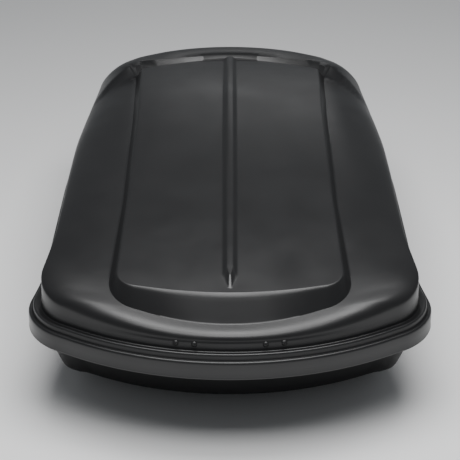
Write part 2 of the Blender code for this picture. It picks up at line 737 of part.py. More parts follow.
def make_stay_pin(name, side, at, low, high):
    """A headed pin along X. The head is on the side towards the middle of the box."""
    shank = STAY_PIN_RADIUS
    head = shank + 0.0035
    profile = [(0, 0), (head, 0), (head, 0.0025), (shank, 0.0025),
               (shank, high - low), (0, high - low)]
    along_x = Matrix.Rotation(side * math.pi / 2, 4, "Y")
    place = Matrix.Translation((side * low, at.x, at.y)) @ along_x
    return add_object(name, placed(turned(profile, 16), place), STEEL, 35)


def make_stay_bracket(word, side, pivot):
    """A nylon block on the base's side wall that carries the arm's pivot pin."""
    inner = STAY_X + 0.0040
    wall = lip_half_width(pivot.x + 0.022) - 0.0330
    bm = bmesh.new()
    low = (inner, pivot.x - 0.022, pivot.y - 0.020)
    high = (wall, pivot.x + 0.022, pivot.y + 0.020)
    for vert in box_into(bm, low, high):
        if vert.co.x < inner + 0.001:
            vert.co.y = pivot.x + (vert.co.y - pivot.x) * 0.55
            vert.co.z = pivot.y + (vert.co.z - pivot.y) * 0.55
        elif vert.co.z < pivot.y:
            vert.co.x -= 0.0080         # the wall leans in towards the floor
    if side < 0:
        placed(bm, Matrix.Diagonal((-1, 1, 1, 1)))
        face_outwards(bm)
    bracket = add_object(f"stay_bracket_{word}", bm, KNOB_NYLON)
    hole = rod((side * (inner + 0.008), pivot.x, pivot.y), (1, 0, 0), STAY_PIN_RADIUS + GAP, 0.030)
    boolean(bracket, add_cutter(f"bracket_hole_{word}", hole))


def make_stay_track(word, side, near, far):
    """A slotted steel strip on the lid's side wall, standing on a foot at each end."""
    inner, outer = STAY_X + 0.0050, STAY_X + 0.0080
    low, high = sorted((side * inner, side * outer))
    start = from_hinge(near - 0.030, STAY_TRACK_ANGLE)
    end = from_hinge(far + 0.030, STAY_TRACK_ANGLE)
    shapes = [capsule_shape(start, end, 0.012, low, high)]
    for at, wall_inset in ((start, 0.0375), (end, 0.0390)):
        wall = lip_half_width(at.x + 0.008) - wall_inset
        ends = sorted((side * (inner + 0.001), side * wall))
        shapes.append(solid((ends[0], at.x - 0.008, at.y - 0.007),
                            (ends[1], at.x + 0.008, at.y + 0.007)))
    track = joined(f"stay_track_{word}", shapes, STEEL)
    slot = capsule_shape(from_hinge(near - 0.002, STAY_TRACK_ANGLE),
                         from_hinge(far + 0.002, STAY_TRACK_ANGLE),
                         STAY_PIN_RADIUS + GAP, low - 0.01, high + 0.01)
    boolean(track, add_cutter(f"stay_slot_{word}", slot))


# ---------------------------------------------------------------- crossbar clamps

def make_rail(word, side):
    low = GROUND_CLEARANCE + SHEET + GAP
    half = RAIL_WIDTH / 2
    x = side * CLAMP_X
    return add_box(f"floor_rail_{word}", (x - half, -RAIL_LENGTH / 2, low),
                   (x + half, RAIL_LENGTH / 2, low + RAIL_THICK), STEEL)


def make_u_bolt(name, x, y):
    """A bent threaded rod: flat bottom, two rounded corners and two legs."""
    half, corner, top = LEG_SPACING / 2, 0.018, 0.106
    points = [Vector((-half, top))]
    for centre, first in (((-half + corner, ROD_RADIUS + corner), math.pi),
                          ((half - corner, ROD_RADIUS + corner), 1.5 * math.pi)):
        points += [Vector(centre) + corner * Vector((math.cos(first + step * math.pi / 8),
                                                     math.sin(first + step * math.pi / 8)))
                   for step in range(5)]
    points.append(Vector((half, top)))
    curve = bpy.data.curves.new(name, "CURVE")
    curve.dimensions = "3D"
    curve.bevel_depth = ROD_RADIUS
    curve.bevel_resolution = 2
    curve.use_fill_caps = True
    spline = curve.splines.new("POLY")
    spline.points.add(len(points) - 1)
    for point, place in zip(spline.points, points):
        point.co = (0, place.x, place.y, 1)
    made = bpy.data.objects.new(name, curve)
    BOX.objects.link(made)
    curve.materials.append(STEEL)
    made.location = (x, y, 0)
    return made


def leg_holes(name, x, y, radius, targets):
    bm = bmesh.new()
    for way in (-1, 1):
        cylinder_into(bm, (x, y + way * LEG_SPACING / 2, 0.07), (0, 0, 1), radius, 0.06)
    cutter = add_cutter(name, bm)
    for target in targets:
        boolean(target, cutter)


def make_clamp_plate(name, x, y):
    wide, long, thick = CLAMP_PLATE
    low = GROUND_CLEARANCE + SHEET + RAIL_THICK + 2 * GAP
    return add_box(name, (x - wide / 2, y - long / 2, low), (x + wide / 2, y + long / 2, low + thick),
                   BLACK_STEEL, 0.001)


def knob_shape():
    """A five-lobed hand nut with a hub under it and a through bore."""
    low = KNOB_Z
    sections = [(ROD_RADIUS + 0.0004, low, 0), (0.0105, low, 0), (0.0105, low + 0.010, 0),
                (KNOB_HEAD - 0.004, low + 0.0115, 0.0028), (KNOB_HEAD - 0.0028, low + 0.016, 0.0032),
                (KNOB_HEAD - 0.006, low + 0.024, 0.0028), (ROD_RADIUS + 0.0004, low + 0.0245, 0)]
    count = 20
    bm = bmesh.new()
    rings = []
    for radius, height, lobe in sections:
        ring = []
        for index in range(count):
            angle = math.tau * index / count
            reach = radius + lobe * math.cos(5 * angle)
            ring.append(Vector((reach * math.cos(angle), reach * math.sin(angle), height)))
        rings.append(ring)
    rows = loft_into(bm, rings + rings[:1])
    bmesh.ops.remove_doubles(bm, verts=bm.verts, dist=0.00001)
    face_outwards(bm)
    return bm


def make_clamps():
    rails = {side: make_rail(word, side) for word, side in SIDES}
    first_knob = None
    for end, y in (("front", -CLAMP_Y), ("rear", CLAMP_Y)):
        for word, side in SIDES:
            x = side * CLAMP_X
            tag = f"{end}_{word}"
            make_u_bolt(f"u_bolt_{tag}", x, y)
            plate = make_clamp_plate(f"clamp_plate_{tag}", x, y)
            leg_holes(f"leg_holes_{tag}", x, y, 0.0052, (BASE, rails[side], plate))
            for way, place in ((-1, "a"), (1, "b")):
                spot = (x, y + way * LEG_SPACING / 2, 0)
                if first_knob is None:
                    first_knob = add_object(f"clamp_knob_{tag}_{place}", knob_shape(), KNOB_NYLON, 40)
                    first_knob.location = spot
                else:
                    copy_object(first_knob, f"clamp_knob_{tag}_{place}", spot)


# ---------------------------------------------------------------- build order

SIDES = (("right", 1), ("left", -1))
LID = make_lid()
BASE = make_base()
make_seals()
STIFFENER = make_stiffener()
for side_word, side_sign in SIDES:
    make_hinge(side_word, side_sign)
    make_lock(side_word, side_sign, STIFFENER)
    make_stay(side_word, side_sign)
make_clamps()
RIDES_ON_LID = ("lid_", "rear_stiffener", "hinge_lid", "stay_track",
                "lock_housing", "lock_barrel", "lock_cam")
hang_on("lid_hinge_axis", (0, HINGE_Y, HINGE_Z),
        [piece for piece in BOX.objects if piece.name.startswith(RIDES_ON_LID)])
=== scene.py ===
"""The looks of a rear-opening roof cargo box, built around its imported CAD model.

X runs across the car and Y along it, with the nose of the box at -Y. Units are metres, +Z is up.
"""
import json
import math

import bmesh
import bpy
from mathutils import Matrix, Vector

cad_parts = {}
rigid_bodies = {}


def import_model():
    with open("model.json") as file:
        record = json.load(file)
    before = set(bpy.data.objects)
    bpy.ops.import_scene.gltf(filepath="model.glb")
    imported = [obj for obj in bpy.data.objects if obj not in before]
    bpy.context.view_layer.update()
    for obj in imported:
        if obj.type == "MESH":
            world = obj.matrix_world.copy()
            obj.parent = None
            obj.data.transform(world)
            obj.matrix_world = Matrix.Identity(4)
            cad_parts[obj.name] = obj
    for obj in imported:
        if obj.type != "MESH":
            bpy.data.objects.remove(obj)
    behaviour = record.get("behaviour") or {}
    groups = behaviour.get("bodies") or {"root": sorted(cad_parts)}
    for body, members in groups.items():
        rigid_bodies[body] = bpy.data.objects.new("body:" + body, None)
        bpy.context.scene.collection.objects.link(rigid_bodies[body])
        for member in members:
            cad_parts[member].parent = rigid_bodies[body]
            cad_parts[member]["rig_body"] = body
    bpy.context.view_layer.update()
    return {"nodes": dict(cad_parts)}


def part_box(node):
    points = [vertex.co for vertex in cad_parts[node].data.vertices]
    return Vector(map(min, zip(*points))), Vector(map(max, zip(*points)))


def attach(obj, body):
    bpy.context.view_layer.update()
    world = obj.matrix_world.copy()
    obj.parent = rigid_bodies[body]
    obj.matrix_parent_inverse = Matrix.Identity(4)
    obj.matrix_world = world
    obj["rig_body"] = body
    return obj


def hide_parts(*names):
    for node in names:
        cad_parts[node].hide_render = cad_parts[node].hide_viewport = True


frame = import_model()


# ============================================================ the lid
# The lid is one sheet of black ABS with a fine grain, 3.5 mm thick, heated and drawn down over a
# mould. Every edge is therefore rounded, and the rim steps out twice before its skirt turns down
# over the base. A flat panel stands above the hood, with one rib along its middle, and the tail
# kicks up behind it.

LIP_Z = 0.250               # top of the rim's outer step
HALF_LENGTH = 0.800
SHEET = 0.0035

# Half outlines from above, from the tail's middle round the +X side to the nose's middle.
# Each entry is a corner and the radius that rounds it.
LIP_OUTLINE = [(0, 0.8293, 1.18), (0.424, 0.735, 0.13), (0.456, 0.15, 2.5), (0.462, -0.40, 0.8),
               (0.496, -0.617, 0.163), (0, -0.9245, 0.7053)]
PANEL_FOOT = [(0, 0.640, 0.30), (0.274, 0.520, 0.03), (0.2645, 0.15, 2.0), (0.267, -0.30, 1.5),
              (0.285, -0.655, 0.09), (0, -0.761, 0.50)]
PANEL_TOP = [(0, 0.622, 0.30), (0.256, 0.514, 0.03), (0.2475, 0.15, 2.0), (0.250, -0.30, 1.5),
             (0.262, -0.641, 0.05), (0, -0.696, 0.90)]
RIB_FOOT = [(0, 0.612, 0.012), (0.018, 0.600, 0.01), (0.0182, 0.20, 1.0), (0.0182, -0.20, 1.0),
            (0.017, -0.625, 0.050), (0, -0.674, 0.004)]
RIB_TOP = [(0, 0.604, 0.004), (0.007, 0.598, 0.003), (0.0072, 0.20, 1.0), (0.0072, -0.20, 1.0),
           (0.006, -0.600, 0.020), (0, -0.645, 0.002)]
RIB_HEIGHT = 0.0095
# Steps round each corner, from the tail to the nose, and along the edges between them
ARC_STEPS = (44, 18, 4, 4, 24, 96)
EDGE_STEPS = (5, 16, 16, 10, 4)

# Cross-section of the rim, as (inset from the lip outline, height above the lip): the trimmed
# edge, the skirt, the outer step, the gutter behind it, the bead, and the foot of the wall
RIM_PROFILE = [
    (0.0010, -0.0450), (-0.0003, -0.0444), (-0.0008, -0.0430), (-0.0005, -0.0412),
    (0.0000, -0.0390), (0.0000, -0.0230), (0.0000, -0.0080), (0.0003, -0.0052),
    (0.0011, -0.0028), (0.0024, -0.0011), (0.0042, -0.0002), (0.0062, -0.0003),
    (0.0082, -0.0012), (0.0096, -0.0014), (0.0105, -0.0004), (0.0110, 0.0018),
    (0.0117, 0.0080), (0.0122, 0.0108), (0.0131, 0.0128), (0.0147, 0.0140),
    (0.0166, 0.0140), (0.0215, 0.0126), (0.0262, 0.0112), (0.0288, 0.0106),
    (0.0298, 0.0112), (0.0304, 0.0130), (0.0312, 0.0180), (0.0324, 0.0250),
    (0.0328, 0.0290), (0.0332, 0.0310)]
CREST_INSET = 0.0345                # where the wall turns over into the hood

# Heights above the lip on the middle line, as (y, height)
CREST_LINE = [(-0.80, 0.034), (-0.74, 0.035), (-0.65, 0.050), (-0.59, 0.068), (-0.50, 0.090),
              (-0.40, 0.106), (-0.20, 0.114), (0.0, 0.116), (0.30, 0.102), (0.50, 0.085),
              (0.62, 0.078), (0.80, 0.076)]
HOOD_LINE = [(-0.80, 0.0420), (-0.757, 0.0500), (-0.726, 0.0580), (-0.65, 0.0800), (-0.55, 0.104),
             (-0.30, 0.148), (0.0, 0.178), (0.25, 0.188), (0.45, 0.179), (0.62, 0.162)]
PANEL_LINE = [(-0.80, 0.088), (-0.685, 0.110), (-0.55, 0.133), (-0.30, 0.172),
              (0.0, 0.204), (0.25, 0.215), (0.45, 0.205), (0.62, 0.180)]
PANEL_CROWN = 0.010                 # how far the panel's middle stands above its sides
PANEL_CROWN_HALF = 0.27
PANEL_CROWN_RUN = 0.3               # the crown fades in over this length from the nose
TAIL_FOLD_Y = 0.614                 # the fold where the tail kicks up, on the middle line
TAIL_FOLD_BOW = 1.35                # how fast the fold curves forward towards the sides
TAIL_KICK = 0.032
TAIL_RUN = 0.034
TAIL_SLOPE = 0.02
TAIL_HALF = 0.270                   # the kicked-up part falls away outside this
TAIL_FALL = 0.15
TAIL_FALL_RUN = 0.04

# The hood swells like an ellipse between its crest and the panel's foot, with these exponents.
# It is squarer across the middle of the tail and across the nose.
SWELL_OUT, SWELL_UP = 1.8, 1.6
SQUARE_OUT, SQUARE_UP = 4.0, 0.4
TAIL_SQUARE_Y, TAIL_SQUARE_RUN, TAIL_SQUARE_HALF = 0.60, 0.10, 0.42
NOSE_SQUARE_Y, NOSE_SQUARE_RUN, NOSE_SQUARE = -0.58, 0.12, 0.85

# Where the lid's rings lie, each as a share of the way from one outline to the next
WALL_SHARES = (0.35, 0.75)
HOOD_SHARES = (0.0, 0.006, 0.018, 0.04, 0.07, 0.12, 0.18, 0.25, 0.33, 0.42, 0.52, 0.62, 0.72, 0.82,
               0.91, 0.97, 0.995)
PANEL_SIDE_SHARES = (0.04, 0.2, 0.4, 0.6, 0.72, 0.79, 0.85, 0.90, 0.95, 1.0)
PANEL_TOP_SHARES = (0.03, 0.08, 0.15, 0.25, 0.38, 0.52, 0.66, 0.80, 0.92, 0.985)
RIB_SIDE_SHARES = ((0.02, 0.03), (0.3, 0.32), (0.7, 0.76), (0.85, 0.90), (1.0, 0.98))   # (in, up)


def outline_points(half):
    """Points round a closed outline: an arc at each corner and a few points on each edge."""
    corners = half + [(-x, y, r) for x, y, r in reversed(half[1:-1])]
    steps = ARC_STEPS + ARC_STEPS[-2:0:-1]
    edges = EDGE_STEPS + EDGE_STEPS[::-1]
    arcs = []
    for index, (x, y, radius) in enumerate(corners):
        corner = Vector((x, y))
        to_last = (Vector(corners[index - 1][:2]) - corner).normalized()
        to_next = (Vector(corners[(index + 1) % len(corners)][:2]) - corner).normalized()
        opening = to_last.angle(to_next)
        centre = corner + (to_last + to_next).normalized() * radius / math.sin(opening / 2)
        start = corner + to_last * radius / math.tan(opening / 2) - centre
        turn = -(math.pi - opening) * math.copysign(1, to_last.cross(to_next))
        arcs.append([centre + Matrix.Rotation(turn * step / steps[index], 2) @ start
                     for step in range(steps[index] + 1)])
    points = []
    for arc, following, steps_along in zip(arcs, arcs[1:] + arcs[:1], edges):
        points.extend(arc)
        points.extend(arc[-1].lerp(following[0], step / steps_along)
                      for step in range(1, steps_along))
    return points


def inset(points, distance):
    """Move a closed outline inwards along its normals."""
    moved = []
    for index, point in enumerate(points):
        along = (points[(index + 1) % len(points)] - point).normalized()
        along += (point - points[index - 1]).normalized()
        moved.append(point + Vector((along.y, -along.x)).normalized() * distance)
    return moved


def blend(first, second, share):
    return [a.lerp(b, share) for a, b in zip(first, second)]


def at_height(points, z):
    return [Vector((p.x, p.y, z)) for p in points]


def ease(value):
    value = min(max(value, 0.0), 1.0)
    return value * value * (3 - 2 * value)


def line_height(line, y):
    """A smooth line through the given heights: a cubic Hermite curve with averaged slopes."""
    y = min(max(y, line[0][0]), line[-1][0])
    slopes = []
    for index in range(len(line)):
        before, after = line[max(index - 1, 0)], line[min(index + 1, len(line) - 1)]
        slopes.append((after[1] - before[1]) / (after[0] - before[0]))
    index = next(i for i in range(len(line) - 1) if y <= line[i + 1][0])
    (y0, h0), (y1, h1) = line[index], line[index + 1]
    run = y1 - y0
    t = (y - y0) / run
    return ((2 * t**3 - 3 * t**2 + 1) * h0 + (t**3 - 2 * t**2 + t) * run * slopes[index]
            + (3 * t**2 - 2 * t**3) * h1 + (t**3 - t**2) * run * slopes[index + 1])


def tail_rise(x, y):
    """How far the kicked-up tail stands above the line that it grows out of."""
    past = y - (TAIL_FOLD_Y - TAIL_FOLD_BOW * x * x)
    fall = TAIL_FALL * max(0.0, abs(x) - TAIL_HALF) * ease(past / TAIL_FALL_RUN)
    return TAIL_KICK * ease(past / TAIL_RUN) + max(0.0, past) * TAIL_SLOPE - fall


def hood_height(x, y):
    return LIP_Z + line_height(HOOD_LINE, y) + tail_rise(x, y)


def panel_height(x, y):
    crown = (PANEL_CROWN * (1 - (x / PANEL_CROWN_HALF) ** 2)
             * ease((y + HALF_LENGTH) / PANEL_CROWN_RUN))
    return LIP_Z + line_height(PANEL_LINE, y) + max(crown, 0.0)


def hood_ring(crest, foot, share):
    """A ring of the hood between its crest and the panel's foot."""
    ring = []
    for edge, end in zip(crest, foot):
        place = edge.xy.lerp(end, share)
        square = (ease((edge.y - TAIL_SQUARE_Y) / TAIL_SQUARE_RUN)
                  * (1 - ease(abs(place.x) / TAIL_SQUARE_HALF)))
        square += NOSE_SQUARE * ease((NOSE_SQUARE_Y - edge.y) / NOSE_SQUARE_RUN)
        swell = ((1 - (1 - share) ** (SWELL_OUT + SQUARE_OUT * square))
                 ** (1 / (SWELL_UP + SQUARE_UP * square)))
        height = edge.z + (hood_height(place.x, place.y) - edge.z) * swell
        ring.append(Vector((place.x, place.y, height)))
    return ring


def panel_side_ring(foot, top, share, straight=0.72):
    """A ring of the panel's raised side: a straight slope that rounds over into the top."""
    if share <= straight:
        rise = 2 * share / (1 + straight)
    else:
        rise = 1 - (1 - share) ** 2 / (1 - straight**2)
    ring = []
    for low, high in zip(foot, top):
        place = low.lerp(high, share)
        bottom = hood_height(low.x, low.y)
        height = bottom + (panel_height(high.x, high.y) - bottom) * rise
        ring.append(Vector((place.x, place.y, height)))
    return ring


def on_panel(points, above=0.0):
    return [Vector((p.x, p.y, panel_height(p.x, p.y) + above)) for p in points]


def draw_shell(name, rings):
    """Draw a shell ring by ring: a circle takes the first ring's shape, and is extruded to each
    of the others."""
    bpy.ops.object.select_all(action="DESELECT")
    bpy.ops.mesh.primitive_circle_add(vertices=len(rings[0]))
    shell = bpy.context.active_object
    shell.name = shell.data.name = name
    bpy.ops.object.mode_set(mode="EDIT")
    edit = bmesh.from_edit_mesh(shell.data)
    order = edit.verts.layers.int.new("order")
    for number, vert in enumerate(edit.verts):
        vert[order] = number
        vert.co = rings[0][number]
    bmesh.update_edit_mesh(shell.data)
    for ring in rings[1:]:
        bpy.ops.mesh.extrude_edges_move()
        edit = bmesh.from_edit_mesh(shell.data)
        order = edit.verts.layers.int["order"]
        for vert in edit.verts:
            if vert.select:
                vert.co = ring[vert[order]]
    edit.verts.layers.int.remove(order)
    bmesh.update_edit_mesh(shell.data)
    bpy.ops.mesh.select_all(action="SELECT")
    bpy.ops.mesh.remove_doubles(threshold=0.00002)
    bpy.ops.mesh.normals_make_consistent(inside=False)
    bpy.ops.object.mode_set(mode="OBJECT")
    return shell


def finish_with(piece, kind, **settings):
    """Add a modifier with its settings and apply it."""
    bpy.context.view_layer.objects.active = piece
    added = piece.modifiers.new(kind.lower(), kind)
    for setting, value in settings.items():
        setattr(added, setting, value)
    bpy.ops.object.modifier_apply(modifier=added.name)


def shade(piece, degrees):
    bpy.ops.object.select_all(action="DESELECT")
    piece.select_set(True)
    bpy.context.view_layer.objects.active = piece
    bpy.ops.object.shade_smooth_by_angle(angle=math.radians(degrees))


lip = outline_points(LIP_OUTLINE)
panel_foot, panel_top = outline_points(PANEL_FOOT), outline_points(PANEL_TOP)
rib_foot, rib_top = outline_points(RIB_FOOT), outline_points(RIB_TOP)
crest = [Vector((p.x, p.y, LIP_Z + line_height(CREST_LINE, p.y))) for p in inset(lip, CREST_INSET)]

# From the trimmed edge of the skirt, up over the rim and the hood, to the ridge of the rib
lid_rings = [at_height(inset(lip, across), LIP_Z + up) for across, up in RIM_PROFILE]
wall_foot = lid_rings[-1]
lid_rings += [blend(wall_foot, crest, share) for share in WALL_SHARES]
lid_rings += [hood_ring(crest, panel_foot, share) for share in HOOD_SHARES]
lid_rings += [panel_side_ring(panel_foot, panel_top, share) for share in PANEL_SIDE_SHARES]
lid_rings += [on_panel(blend(panel_top, rib_foot, share)) for share in PANEL_TOP_SHARES]
lid_rings += [on_panel(blend(rib_foot, rib_top, share), RIB_HEIGHT * rise)
              for share, rise in RIB_SIDE_SHARES]
lid_rings.append(on_panel([Vector((0, p.y)) for p in rib_top], RIB_HEIGHT))
lid_sheet = draw_shell("lid_sheet", lid_rings)
finish_with(lid_sheet, "SOLIDIFY", thickness=SHEET, offset=-1)
shade(lid_sheet, 40)
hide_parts("lid_shell")
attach(lid_sheet, "lid")


def linear(hex_colour):
    """An sRGB hex colour as the linear colour that a socket takes."""
    parts = [int(hex_colour[i:i + 2], 16) / 255 for i in (1, 3, 5)]
    return (*(c / 12.92 if c <= 0.04045 else ((c + 0.055) / 1.055) ** 2.4 for c in parts), 1.0)


def node(tree, kind, links=(), **settings):
    """Add a node, set its properties and sockets, and link (socket, node, output) into it."""
    added = tree.nodes.new(kind)
    for name, value in settings.items():
        if name in added.inputs:
            added.inputs[name].default_value = value
        elif name.replace("_", " ") in added.inputs:
            added.inputs[name.replace("_", " ")].default_value = value
        else:
            setattr(added, name, value)
    for socket, source, output in links:
        tree.links.new(source.outputs[output], added.inputs[socket])
    return added


def new_finish(name, colour, **sockets):
    """A material with its constant sockets set, its node tree and its shader."""
    finish = bpy.data.materials.new(name)
    finish.use_nodes = True
    shader = finish.node_tree.nodes["Principled BSDF"]
    shader.inputs["Base Color"].default_value = linear(colour)
    for socket, value in sockets.items():
        shader.inputs[socket.replace("_", " ")].default_value = value
    return finish, finish.node_tree, shader


def mottled(tree, shader, place, scale, colours, detail=4.0):
    """Drift the base colour between two shades over cloudy patches."""
    cloud = node(tree, "ShaderNodeTexNoise", [("Vector", place, "Object")], Scale=scale, Detail=detail)
    ramp = node(tree, "ShaderNodeValToRGB", [("Fac", cloud, "Fac")])
    ramp.color_ramp.elements[0].position = 0.30
    ramp.color_ramp.elements[1].position = 0.70
    for stop, colour in zip(ramp.color_ramp.elements, colours):
        stop.color = linear(colour)
    tree.links.new(ramp.outputs["Color"], shader.inputs["Base Color"])


def uneven_gloss(tree, shader, texture, low, high):
    """Vary the roughness over a range with a noise texture, whose values are 0.3 to 0.7."""
    gloss = node(tree, "ShaderNodeMapRange", [("Value", texture, "Fac")],
                 From_Min=0.3, From_Max=0.7, To_Min=low, To_Max=high)
    tree.links.new(gloss.outputs["Result"], shader.inputs["Roughness"])


def embossed(tree, shader, texture, output, strength, depth):
    """Raise the surface by a texture."""
    relief = node(tree, "ShaderNodeBump", [("Height", texture, output)],
                  Strength=strength, Distance=depth)
    tree.links.new(relief.outputs["Normal"], shader.inputs["Normal"])


# Black ABS, IOR 1.54, vacuum formed on a haircell-grained sheet: a satin gloss broken up by a
# pebble grain. The real grain is 0.3 mm across, and is drawn at 1.2 mm so that it shows.
lid_abs, tree, shader = new_finish("grained_black_abs", "#161617", Roughness=0.34, IOR=1.54)
place = node(tree, "ShaderNodeTexCoord")
mottled(tree, shader, place, 6.0, ("#141415", "#181819"))
grain = node(tree, "ShaderNodeTexVoronoi", [("Vector", place, "Object")], Scale=830.0)
wave = node(tree, "ShaderNodeTexNoise", [("Vector", place, "Object")], Scale=9.0, Detail=2.0)
uneven_gloss(tree, shader, wave, 0.31, 0.38)
embossed(tree, shader, grain, "Distance", 0.10, 0.0006)
lid_sheet.data.materials.append(lid_abs)


# ============================================================ the base
# The base is a tray drawn from the same sheet, plain and duller. Its black is painted darker
# than the lid's, as painted shade for the shade it lies in under the lid's skirt. Its nose is set
# back between two proud corners, and its rim stands up inside the lid's skirt, cut away for the
# hinges and locks.

BASE_FOOT_Z = 0.060
FLOOR_OUTLINE = [(0, 0.765, 1.0), (0.375, 0.700, 0.07), (0.402, 0.15, 2.0), (0.408, -0.30, 1.5),
                 (0.412, -0.509, 0.055), (0, -0.732, 0.668)]
BASE_RIM_INSET = 0.026
BASE_RIM_TOP = LIP_Z + 0.002
BASE_RIM_MIDDLE = LIP_Z - 0.020
BASE_RIM_FOOT = LIP_Z - 0.045
# The wall's rings below the rim, as (share of the way in to the floor's edge, share of the way down)
BASE_WALL_SHARES = ((0.02, 0.012), (0.10, 0.05), (0.28, 0.22), (0.46, 0.42), (0.64, 0.62),
                    (0.78, 0.78), (0.86, 0.87), (0.92, 0.935), (0.97, 0.978), (1.0, 0.994))
FLOOR_SHARES = (0.985, 0.97, 0.85, 0.6, 0.3)
# Below the rim the nose is set back between two corners that stay proud
NOSE_SETBACK = 0.0055
NOSE_STEP_X = 0.356
NOSE_STEP_RUN = 0.006
NOSE_END_Y = -0.40

base_rim = inset(lip, BASE_RIM_INSET)
floor_edge = outline_points(FLOOR_OUTLINE)
wall_rings = [at_height(blend(base_rim, floor_edge, inwards),
                        BASE_RIM_FOOT + (BASE_FOOT_Z - BASE_RIM_FOOT) * down)
              for inwards, down in BASE_WALL_SHARES]
for ring in wall_rings:
    for point in ring:
        if point.y < NOSE_END_Y:
            point.y += NOSE_SETBACK * ease((NOSE_STEP_X - abs(point.x)) / NOSE_STEP_RUN)
base_rings = [at_height(base_rim, z) for z in (BASE_RIM_TOP, BASE_RIM_MIDDLE, BASE_RIM_FOOT)]
base_rings += wall_rings
base_rings += [at_height([p * share for p in floor_edge], BASE_FOOT_Z) for share in FLOOR_SHARES]
base_rings.append([Vector((0, p.y * FLOOR_SHARES[-1], BASE_FOOT_Z)) for p in floor_edge])
base_tray = draw_shell("base_tray", base_rings)
finish_with(base_tray, "SOLIDIFY", thickness=SHEET, offset=-1)
shade(base_tray, 40)
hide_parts("base_shell")
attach(base_tray, "base")

# Painted shade: this black and its two mottled shades are darker than the lid's, for the shade under
# the skirt
base_abs_painted_shade, tree, shader = new_finish("black_abs_painted_shade", "#0b0b0c", Roughness=0.55, IOR=1.54)
shader.inputs["Specular IOR Level"].default_value = 0.2
place = node(tree, "ShaderNodeTexCoord")
mottled(tree, shader, place, 5.0, ("#090909", "#0d0d0e"))
base_tray.data.materials.append(base_abs_painted_shade)


# ============================================================ rim seals
# Extruded foam rubber strips, each with a round bulb on top, are glued along the base's rim. The
# rim is notched for the hinges and the locks, so there are four of them.

HINGE_X = 0.102
HINGE_NOTCH_HALF = 0.034
LOCK_X = 0.200
LOCK_GAP_HALF = 0.0125
# The strip's section, as (inset from the lip outline, height above the rim)
SEAL_SECTION = [(0.0258, 0.0003), (0.0257, 0.0016), (0.0261, 0.0025), (0.0259, 0.0033),
                (0.0263, 0.0043), (0.0271, 0.0050), (0.0281, 0.0053), (0.0291, 0.0050),
                (0.0299, 0.0043), (0.0303, 0.0033), (0.0301, 0.0025), (0.0305, 0.0016),
                (0.0304, 0.0003)]


def stand_for(piece, node_name, finish):
    """Let a piece take a CAD node's place, on its body and with its finish."""
    piece.name = piece.data.name = f"fine_{node_name}"
    piece.data.materials.clear()
    piece.data.materials.append(finish)
    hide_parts(node_name)
    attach(piece, frame["nodes"][node_name]["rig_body"])


def close_ends(piece):
    """Fill the open ends of a piece."""
    bpy.context.view_layer.objects.active = piece
    bpy.ops.object.mode_set(mode="EDIT")
    bpy.ops.mesh.select_all(action="DESELECT")
    bpy.ops.mesh.select_non_manifold()
    bpy.ops.mesh.fill_holes(sides=0)
    bpy.ops.mesh.select_all(action="SELECT")
    bpy.ops.mesh.normals_make_consistent(inside=False)
    bpy.ops.object.mode_set(mode="OBJECT")


# EPDM foam rubber, IOR 1.5, extruded with a closed skin: dead matt, with pores about 0.5 mm wide.
seal_rubber, tree, shader = new_finish("foam_rubber", "#131313", Roughness=0.85, IOR=1.5)
place = node(tree, "ShaderNodeTexCoord")
mottled(tree, shader, place, 60.0, ("#101010", "#1a1a1a"))
pores = node(tree, "ShaderNodeTexVoronoi", [("Vector", place, "Object")], Scale=1800.0)
embossed(tree, shader, pores, "Distance", 0.35, 0.0003)


def past_notch(x, y):
    """Whether a place is further out than the hinge's notch, or the lock's at the tail."""
    return x > (HINGE_X + HINGE_NOTCH_HALF if y < 0 else LOCK_X + LOCK_GAP_HALF)


SEAL_STRETCHES = {
    "rim_seal_nose": lambda p: p.y < -0.6 and abs(p.x) < HINGE_X - HINGE_NOTCH_HALF,
    "rim_seal_tail": lambda p: p.y > 0.6 and abs(p.x) < LOCK_X - LOCK_GAP_HALF,
    "rim_seal_right": lambda p: past_notch(p.x, p.y),
    "rim_seal_left": lambda p: past_notch(-p.x, p.y),
}
seal_lines = [inset(lip, across) for across, _ in SEAL_SECTION]
for seal_name, belongs in SEAL_STRETCHES.items():
    held = [belongs(p) for p in seal_lines[0]]
    first = next(i for i in range(len(held)) if held[i] and not held[i - 1])
    stretch = []
    while held[(first + len(stretch)) % len(held)]:
        stretch.append((first + len(stretch)) % len(held))
    sections = [[Vector((line[i].x, line[i].y, BASE_RIM_TOP + up))
                 for line, (_, up) in zip(seal_lines, SEAL_SECTION)] for i in stretch]
    seal = draw_shell(seal_name, sections)
    close_ends(seal)
    shade(seal, 60)
    stand_for(seal, seal_name, seal_rubber)


# ============================================================ hinges and rivets
# Two strap hinges of zinc-plated steel, cranked on a press, join the nose of the lid to the base.
# Black blind rivets hold them: each has a low dome with a dimple where its mandrel snapped off.

SIDES = (("right", 1), ("left", -1))
HINGE_Y = -0.7768
HINGE_Z = LIP_Z - 0.036
PIN_HALF = 0.0190
PIN_PROFILE = [(0, -PIN_HALF), (0.0012, -0.0189), (0.0021, -0.0185), (0.0025, -0.0178),
               (0.0025, 0.0178), (0.0021, 0.0185), (0.0012, 0.0189), (0, PIN_HALF)]
